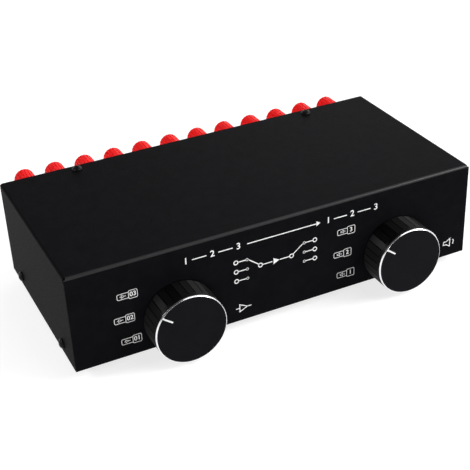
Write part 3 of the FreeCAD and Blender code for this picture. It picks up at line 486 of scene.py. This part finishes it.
def pointer_bar(name, finish):
    """The white bar in the face disc's slot, with its front edges eased."""
    axis = KNOB_AXIS[name]
    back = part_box(f"{name}_knob")[0].y
    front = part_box(f"{name}_knob_ring")[0].y
    half = POINTER_HALF - POINTER_SLACK
    start, end = POINTER_INNER + POINTER_SLACK, FACE_RADIUS - POINTER_SLACK
    mesh = bmesh.new()
    bmesh.ops.create_cube(mesh, size=1.0)
    bmesh.ops.transform(mesh, verts=mesh.verts,
                        matrix=Matrix.Diagonal((end - start, back - front, 2 * half, 1)))
    bmesh.ops.bevel(mesh, geom=[e for e in mesh.edges if all(v.co.y < 0 for v in e.verts)],
                    offset=POINTER_EASE, segments=2, affect="EDGES", profile=0.5)
    turn = (Matrix.Translation((axis.x, (front + back) / 2, axis.z))
            @ Matrix.Rotation(-POINTER_TURN, 4, "Y")
            @ Matrix.Translation(((start + end) / 2, 0, 0)))
    bmesh.ops.transform(mesh, matrix=turn, verts=mesh.verts)
    piece = shown(as_data(mesh, f"{name}_pointer_bar"), finish)
    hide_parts(f"{name}_pointer")
    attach(piece, f"{name}_selector")


def knobs(made):
    """Both knobs' visible pieces, with the materials made for them."""
    for name in KNOBS:
        flat_lands(name, made["knob_black"])
        trim_ring(name, made[f"{name}_knob_ring"], made["knob_black"])
        face_disc(name, made[f"{name}_face"])
        pointer_bar(name, made["pointer_white"])


# ---------------------------------------------------------------- drawing with ink
# Marks are drawn flat, in the panel's plane, as thin solids between z 0 and 1.
INK_PROUD = 0.03 * MM
INK_SUNK = 0.01 * MM
LINE = 0.55 * MM
FINE_LINE = 0.28 * MM
MITRE_LIMIT = 0.5             # smallest cosine by which a line's corner is widened
CORNER_STEPS = 5              # points along a round corner
DIGIT_SHARE = 0.7             # a digit's height over the font's size
DIGIT_WEIGHT = 0.02           # how much its outline is fattened, over its height


def ribbon(mesh, points, width, closed=False):
    """A line of this width through 2-D points."""
    count = len(points)
    sides = []
    for i, point in enumerate(points):
        before = points[i - 1] if i or closed else point
        after = points[(i + 1) % count] if i < count - 1 or closed else point
        into = Vector((point[0] - before[0], point[1] - before[1]))
        out = Vector((after[0] - point[0], after[1] - point[1]))
        into = into.normalized() if into.length else out.normalized()
        out = out.normalized() if out.length else into
        along = (into + out).normalized()
        across = Vector((-along.y, along.x))
        reach = width / 2 / max(MITRE_LIMIT, across.dot(Vector((-into.y, into.x))))
        left, right = Vector(point) + across * reach, Vector(point) - across * reach
        sides.append([mesh.verts.new((p.x, p.y, z))
                      for p, z in ((left, 0), (right, 0), (right, 1), (left, 1))])
    for i in range(count if closed else count - 1):
        here, there = sides[i], sides[(i + 1) % count]
        for k in range(4):
            m = (k + 1) % 4
            mesh.faces.new((here[k], there[k], there[m], here[m]))
    if not closed:
        mesh.faces.new(sides[0])
        mesh.faces.new(sides[-1][::-1])


def plate(mesh, points):
    """A filled outline."""
    low = [mesh.verts.new((x, y, 0)) for x, y in points]
    high = [mesh.verts.new((x, y, 1)) for x, y in points]
    mesh.faces.new(low[::-1])
    mesh.faces.new(high)
    for i in range(len(points)):
        k = (i + 1) % len(points)
        mesh.faces.new((low[i], low[k], high[k], high[i]))


def arrowhead(mesh, back, tip, y, half):
    """A filled triangle that points along x, from back to tip."""
    plate(mesh, [(back, y - half), (tip, y), (back, y + half)])


def rounded(low, high, radius):
    """Outline of a box with round corners."""
    corners = ((high[0] - radius, low[1] + radius, -90), (high[0] - radius, high[1] - radius, 0),
               (low[0] + radius, high[1] - radius, 90), (low[0] + radius, low[1] + radius, 180))
    return [point for x, y, turn in corners
            for point in circle((x, y), radius, CORNER_STEPS, math.radians(turn), math.pi / 2)]


def digit(mesh, text, centre, height):
    """A plain number, centred."""
    curve = bpy.data.curves.new("digit", "FONT")
    curve.body = text
    curve.align_x, curve.align_y = "CENTER", "CENTER"
    curve.size = height / DIGIT_SHARE
    curve.extrude = 0.5
    curve.offset = DIGIT_WEIGHT * height
    holder = bpy.data.objects.new("digit", curve)
    bpy.context.scene.collection.objects.link(holder)
    bpy.context.view_layer.update()
    evaluated = holder.evaluated_get(bpy.context.evaluated_depsgraph_get())
    made = bpy.data.meshes.new_from_object(evaluated)
    made.transform(Matrix.Translation((centre[0], centre[1], 0.5)))
    mesh.from_mesh(made)
    bpy.data.objects.remove(holder)
    bpy.data.curves.remove(curve)
    bpy.data.meshes.remove(made)


def printed(name, draw, face, ink):
    """Turns what draw(mesh) makes into ink on the front or rear face of the case."""
    mesh = bmesh.new()
    draw(mesh)
    thick = Matrix.Diagonal((1, 1, INK_PROUD + INK_SUNK, 1))
    upright = Matrix.Rotation(math.pi / 2, 4, "X")
    if face == "front":
        stand = Matrix.Translation((0, FRONT_Y + INK_SUNK, 0)) @ upright
    else:
        stand = (Matrix.Translation((0, REAR_Y - INK_SUNK, 0))
                 @ Matrix.Rotation(math.pi, 4, "Z") @ upright)
    bmesh.ops.transform(mesh, matrix=stand @ thick, verts=mesh.verts)
    bmesh.ops.recalc_face_normals(mesh, faces=mesh.faces)
    piece = shown(as_data(mesh, name), ink)
    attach(piece, "case")


# ---------------------------------------------------------------- signs
# In sizes of the sign, from its centre.
AMPLIFIER_TRIANGLE = ((-0.5, -0.5), (0.5, 0.0), (-0.5, 0.5))
AMPLIFIER_LEAD = (0.55, 1.0)
LOUDSPEAKER_OUTLINE = ((-0.6, -0.22), (-0.2, -0.22), (0.35, -0.55),
                       (0.35, 0.55), (-0.2, 0.22), (-0.6, 0.22))
SOUND_WAVE = (0.3, 0.6)       # its centre along x, and its radius
SOUND_WAVE_ARC = (9, -0.6, 1.2)  # points, start and sweep in radians


def enlarged(points, centre, size):
    """The points times size, moved to centre."""
    return [(centre[0] + x * size, centre[1] + y * size) for x, y in points]


def amplifier_sign(mesh, centre, size, width):
    """The triangle that stands for an amplifier, with its two leads."""
    ribbon(mesh, enlarged(AMPLIFIER_TRIANGLE, centre, size), width, closed=True)
    for side in (-1, 1):
        lead = [(side * x, 0.0) for x in AMPLIFIER_LEAD]
        ribbon(mesh, enlarged(lead, centre, size), width)


def loudspeaker_sign(mesh, centre, size, width):
    """The box and cone that stand for a loudspeaker, with one sound wave."""
    ribbon(mesh, enlarged(LOUDSPEAKER_OUTLINE, centre, size), width, closed=True)
    x, radius = SOUND_WAVE
    ribbon(mesh, circle((centre[0] + x * size, centre[1]), radius * size, *SOUND_WAVE_ARC), width)


SIGNS = {"amp": amplifier_sign, "speaker": loudspeaker_sign}


# ---------------------------------------------------------------- tags and signs of the dials
# Heights are above the case's bottom. The tags stand at a dial's three positions.
TAG_NUMBERS = {"amp": ("03", "02", "01"), "speaker": ("3", "2", "1")}
TAG_HEIGHTS = (37.0 * MM, 23.1 * MM, 9.4 * MM)
TAG_MIDDLES = {"amp": (-88.5 * MM, -91.3 * MM, -88.6 * MM),
               "speaker": (39.8 * MM, 37.6 * MM, 39.7 * MM)}
TAG_LENGTH = 11.0 * MM
TAG_NUMBER_BOX = 4.8 * MM
TAG_NARROW = 3.3 * MM         # height of the part with the sign
TAG_CORNER = 0.7 * MM
TAG_SIGN = 1.7 * MM
TAG_SIGN_LINE = 0.24 * MM
TAG_DIGIT = 2.6 * MM
SIGN_PLACES = {"amp": (-24.0 * MM, 8.0 * MM), "speaker": (108.6 * MM, 8.6 * MM)}
SIGN_SIZE = 4.6 * MM


def tag(mesh, dial, number, middle_x, height):
    """An outline with the dial's sign in its narrow part and a number in its square part."""
    y = CASE_BOTTOM + height
    right = middle_x + TAG_LENGTH / 2
    split = right - TAG_NUMBER_BOX
    left = middle_x - TAG_LENGTH / 2
    box = TAG_NUMBER_BOX / 2
    ribbon(mesh, rounded((split, y - box), (right, y + box), TAG_CORNER), FINE_LINE, closed=True)
    low, high = y - TAG_NARROW / 2, y + TAG_NARROW / 2
    lower = circle((left + TAG_CORNER, low + TAG_CORNER), TAG_CORNER, CORNER_STEPS,
                   math.radians(270), -math.pi / 2)
    upper = circle((left + TAG_CORNER, high - TAG_CORNER), TAG_CORNER, CORNER_STEPS,
                   math.radians(180), -math.pi / 2)
    ribbon(mesh, [(split, low), *lower, *upper, (split, high)], FINE_LINE)
    SIGNS[dial](mesh, ((left + split) / 2, y), TAG_SIGN, TAG_SIGN_LINE)
    digit(mesh, number, ((split + right) / 2, y), TAG_DIGIT)


def tags(dial):
    """The three numbered tags beside a dial."""
    def draw(mesh):
        for number, x, height in zip(TAG_NUMBERS[dial], TAG_MIDDLES[dial], TAG_HEIGHTS):
            tag(mesh, dial, number, x, height)
    return draw


def dial_sign(dial):
    """The larger sign at the lower right of a dial."""
    def draw(mesh):
        x, height = SIGN_PLACES[dial]
        SIGNS[dial](mesh, (x, CASE_BOTTOM + height), SIGN_SIZE, LINE)
    return draw


# ---------------------------------------------------------------- row across the top of the front
HEADER_SPAN = (-57.0 * MM, 60.0 * MM)
HEADER_HEIGHT = 46.8 * MM
HEADER_NUMBERS = 3
HEADER_DIGIT = 3.7 * MM
HEADER_INSET = 1.5 * MM       # first number's middle from the end of the span
HEADER_STEP = 15.0 * MM
HEADER_GAP = 3.4 * MM         # from a number's middle to the dash beside it
ARROW_REACH = 22.0 * MM       # half the arrow's length
ARROW_HEAD = 2.4 * MM
ARROW_HALF = 1.5 * MM         # half the head's width
ARROW_SHAFT_END = 2.0 * MM    # from the tip, inside the head


def header(mesh):
    """A row across the top: numbers 1 to 3, an arrow, and numbers 1 to 3."""
    y = CASE_BOTTOM + HEADER_HEIGHT
    left, right = HEADER_SPAN
    for side, edge in ((1, left), (-1, right)):
        for i in range(HEADER_NUMBERS):
            x = edge + side * (HEADER_INSET + HEADER_STEP * i)
            number = i + 1 if side == 1 else HEADER_NUMBERS - i
            digit(mesh, str(number), (x, y), HEADER_DIGIT)
            if i < HEADER_NUMBERS - 1:
                ribbon(mesh, [(x + side * HEADER_GAP, y),
                              (x + side * (HEADER_STEP - HEADER_GAP), y)], LINE)
    centre = (left + right) / 2
    tip = centre + ARROW_REACH
    ribbon(mesh, [(centre - ARROW_REACH, y), (tip - ARROW_SHAFT_END, y)], LINE)
    arrowhead(mesh, tip - ARROW_HEAD, tip, y, ARROW_HALF)


# ---------------------------------------------------------------- circuit drawing
DIAGRAM_SPAN = (-28.6 * MM, 21.2 * MM)
DIAGRAM_HEIGHTS = (25.6 * MM, 31.4 * MM, 37.2 * MM)
DOT = 1.15 * MM               # radius of the rings at the ends and at the hubs
CONTACT = 0.6 * DOT           # radius of the rings at the contacts
CONTACT_REACH = 7.0 * MM      # from the drawing's edge to the near side of a contact
HUB_REACH = 15.5 * MM         # from the drawing's edge to a hub
BLADE_FROM = (0.75, 0.7)      # in dots, from the hub's centre
BLADE_TO = (1.5, 0.35)        # in dots, past the near side of the top contact, and below it
MARK_BACK, MARK_TIP, MARK_HALF = 1.6 * MM, 2.0 * MM, 1.9 * MM
MARK_GAP = 2.2 * MM           # from the drawing's middle to the lines beside the mark


def diagram(mesh):
    """Two three-way switches in line, as in a circuit drawing."""
    left, right = DIAGRAM_SPAN
    centre = (left + right) / 2
    rows = [CASE_BOTTOM + height for height in DIAGRAM_HEIGHTS]
    pivot, top = rows[1], rows[2]
    for side, edge in ((1, left), (-1, right)):
        for y in rows:
            ribbon(mesh, circle((edge + side * DOT, y), DOT), LINE, closed=True)
            ribbon(mesh, [(edge + side * (2 * DOT), y), (edge + side * CONTACT_REACH, y)], LINE)
            ribbon(mesh, circle((edge + side * (CONTACT_REACH + CONTACT), y), CONTACT),
                   FINE_LINE, closed=True)
        hub = edge + side * HUB_REACH
        ribbon(mesh, circle((hub, pivot), DOT), LINE, closed=True)
        ribbon(mesh, [(hub - side * DOT * BLADE_FROM[0], pivot + DOT * BLADE_FROM[1]),
                      (edge + side * (CONTACT_REACH + BLADE_TO[0] * DOT), top - BLADE_TO[1] * DOT)],
               LINE)
        ribbon(mesh, [(hub + side * DOT, pivot), (centre - side * MARK_GAP, pivot)], LINE)
    arrowhead(mesh, centre - MARK_BACK, centre + MARK_TIP, pivot, MARK_HALF)


# ---------------------------------------------------------------- marks on the rear
REAR_DIGIT = 3.6 * MM
POLARITY_OFFSET = 10.8 * MM   # plus and minus from the row's last post
POLARITY_REACH = 2.0 * MM     # half the length of their strokes
BRACKET_DROP = 10.0 * MM      # below the black row
BRACKET_LEG = 2 * MM
BRACKET_NUMBER_DROP = 4.2 * MM
COLUMNS_PER_GROUP = 2
GROUPS_PER_SIDE = 3


def rear_marks(mesh):
    """Plus and minus at the rows' ends, and a numbered bracket under every pair of columns.

    Drawn as seen from behind, so x runs the other way."""
    for row, plus in ((RED_ROW, True), (BLACK_ROW, False)):
        for end, side in ((row[0], 1), (row[-1], -1)):
            x, y = -end.x + side * POLARITY_OFFSET, end.z
            ribbon(mesh, [(x - POLARITY_REACH, y), (x + POLARITY_REACH, y)], LINE)
            if plus:
                for way in (-1, 1):
                    ribbon(mesh, [(x, y + way * LINE / 2), (x, y + way * POLARITY_REACH)], LINE)
    y = BLACK_ROW[0].z - BRACKET_DROP
    for group in range(POSTS_PER_ROW // COLUMNS_PER_GROUP):
        first = -RED_ROW[group * COLUMNS_PER_GROUP].x
        second = -RED_ROW[group * COLUMNS_PER_GROUP + 1].x
        ribbon(mesh, [(first, y + BRACKET_LEG), (first, y), (second, y), (second, y + BRACKET_LEG)],
               LINE)
        digit(mesh, str(GROUPS_PER_SIDE - group % GROUPS_PER_SIDE),
              ((first + second) / 2, y - BRACKET_NUMBER_DROP), REAR_DIGIT)


def print_marks(ink):
    """All the ink on the case."""
    for dial in KNOBS:
        printed(f"{dial}_tags", tags(dial), "front", ink)
        printed(f"{dial}_sign", dial_sign(dial), "front", ink)
    printed("header_numbers", header, "front", ink)
    printed("switch_diagram", diagram, "front", ink)
    printed("rear_marks", rear_marks, "rear", ink)


# ---------------------------------------------------------------- studio
WHITE = (1, 1, 1, 1)
FLOOR_REACH = 6.0
FLOOR_COLOUR = 0.45
FLOOR_MOTTLE = 0.01           # how much lighter its palest spots are
FLOOR_GRAIN = 0.4             # metres
FLOOR_GLOW = 0.74             # seen by eye and mirror, on top of the light that falls on it
FLOOR_FADE = (0.6, 3.0)       # metres over which the glow makes up for the light's fall
BACKDROP_LEVEL = 1.0          # pale backdrop behind the floor
BACKDROP_TOP = (0.215, 0.26)  # it ends between these heights of a view direction
ROOM_LEVEL = 0.03             # the dim room above the backdrop
ROOM_GLOW = 0.75              # and how much paler it is in the middle of its glow
ROOM_GLOW_WAY = (0.62, 0.65, 0.44)
ROOM_GLOW_SPAN = (0.2, 0.95)  # cosines from that way, where the glow starts and is full


def floor_material():
    """White to the eye and in reflections, with the object's shadow kept."""
    made = bpy.data.materials.new("studio_floor")
    tree = empty_tree(made)
    colour = blend_colours(tree, noise(tree, FLOOR_GRAIN, 2.0),
                           (FLOOR_COLOUR,) * 3, (FLOOR_COLOUR + FLOOR_MOTTLE,) * 3)
    diffuse = add(tree, "ShaderNodeBsdfDiffuse", {"Color": colour})
    path = add(tree, "ShaderNodeLightPath").outputs
    mirrored = math_node(tree, "MAXIMUM", path["Is Glossy Ray"], path["Is Transmission Ray"])
    seen = math_node(tree, "MAXIMUM", path["Is Camera Ray"], mirrored)
    away = vector_node(tree, "LENGTH", "Value", place(tree))
    level = math_node(tree, "MULTIPLY", seen, remap(tree, away, FLOOR_GLOW, 1.0, *FLOOR_FADE))
    glow = add(tree, "ShaderNodeEmission", {"Color": WHITE, "Strength": level})
    both = add(tree, "ShaderNodeAddShader", {0: diffuse.outputs[0], 1: glow.outputs[0]})
    add(tree, "ShaderNodeOutputMaterial", {"Surface": both.outputs[0]})
    return made


def floor():
    """A wide plain floor at the feet's plane."""
    data = bpy.data.meshes.new("studio_floor")
    r = FLOOR_REACH
    data.from_pydata([(-r, -r, 0), (r, -r, 0), (r, r, 0), (-r, r, 0)], [], [(0, 1, 2, 3)])
    piece = shown(data, floor_material())


def world():
    """A dim room, paler towards the rear right, above a low pale backdrop."""
    made = bpy.data.worlds.new("studio")
    bpy.context.scene.world = made
    tree = empty_tree(made)
    way = add(tree, "ShaderNodeTexCoord").outputs["Generated"]
    up = add(tree, "ShaderNodeSeparateXYZ", {"Vector": way}).outputs["Z"]
    toward = vector_node(tree, "DOT_PRODUCT", "Value", way, ROOM_GLOW_WAY)
    room = remap(tree, toward, ROOM_LEVEL, ROOM_LEVEL + ROOM_GLOW, *ROOM_GLOW_SPAN)
    backdrop = remap(tree, up, BACKDROP_LEVEL, 0.0, *BACKDROP_TOP)
    level = math_node(tree, "MAXIMUM", room, backdrop)
    back = add(tree, "ShaderNodeBackground", {"Color": WHITE, "Strength": level})
    add(tree, "ShaderNodeOutputWorld", {"Surface": back.outputs[0]})


# direction from the object, distance, width and height in metres, way the width runs, watts
SOFTBOXES = {
    "key_softbox": ((0.76, -0.42, 0.52), 1.5, (0.8, 0.62), (-0.93, -0.32, 0.43), 16.5),
    "key_tail": ((0.29, -0.57, 0.76), 1.5, (0.8, 0.6), (-0.93, -0.32, 0.43), 3.5),
    "fill_softbox": ((-0.32, -0.94, 0.14), 1.6, (0.25, 0.25), (0.0, 0.0, 1.0), 9.0),
    "rear_softbox": ((0.66, 0.66, 0.40), 1.8, (1.4, 0.8), (-0.7, 0.7, 0.0), 6.0),
    "left_softbox": ((-0.82, 0.10, 0.55), 1.6, (0.3, 0.3), (0.0, 1.0, 0.0), 8.0),
}


def softboxes():
    """The lamps, each facing the origin."""
    for name, (direction, distance, size, along, power) in SOFTBOXES.items():
        data = bpy.data.lights.new(name, "AREA")
        data.shape, data.energy = "RECTANGLE", power
        data.size, data.size_y = size
        lamp = bpy.data.objects.new(name, data)
        way = Vector(direction).normalized()
        up = way.cross(Vector(along)).normalized()
        turn = Matrix((up.cross(way), up, way)).transposed()
        lamp.matrix_world = Matrix.Translation(way * distance) @ turn.to_4x4()
        bpy.context.scene.collection.objects.link(lamp)


def camera():
    """The camera at the photograph's place, as the scene's own."""
    data = bpy.data.cameras.new("camera")
    data.sensor_width = SENSOR_MM
    data.lens = FOCAL_PIXELS / PHOTO_PIXELS * SENSOR_MM
    data.shift_x = -SHIFT_PIXELS[0] / PHOTO_PIXELS
    data.shift_y = SHIFT_PIXELS[1] / PHOTO_PIXELS
    data.clip_start, data.clip_end = CAMERA_CLIP
    made = bpy.data.objects.new("camera", data)
    made.matrix_world = (Matrix.Translation(CAMERA_PLACE)
                         @ Matrix.Rotation(math.radians(-CAMERA_AZIMUTH), 4, "Z")
                         @ Matrix.Rotation(math.radians(90 - CAMERA_DROP), 4, "X")
                         @ Matrix.Rotation(math.radians(CAMERA_ROLL), 4, "Z"))
    bpy.context.scene.collection.objects.link(made)
    bpy.context.scene.camera = made


made_materials = dress_nodes()
knobs(made_materials)
print_marks(made_materials["pointer_white"])
floor()
world()
softboxes()
camera()
bpy.context.scene.view_settings.view_transform = "Standard"
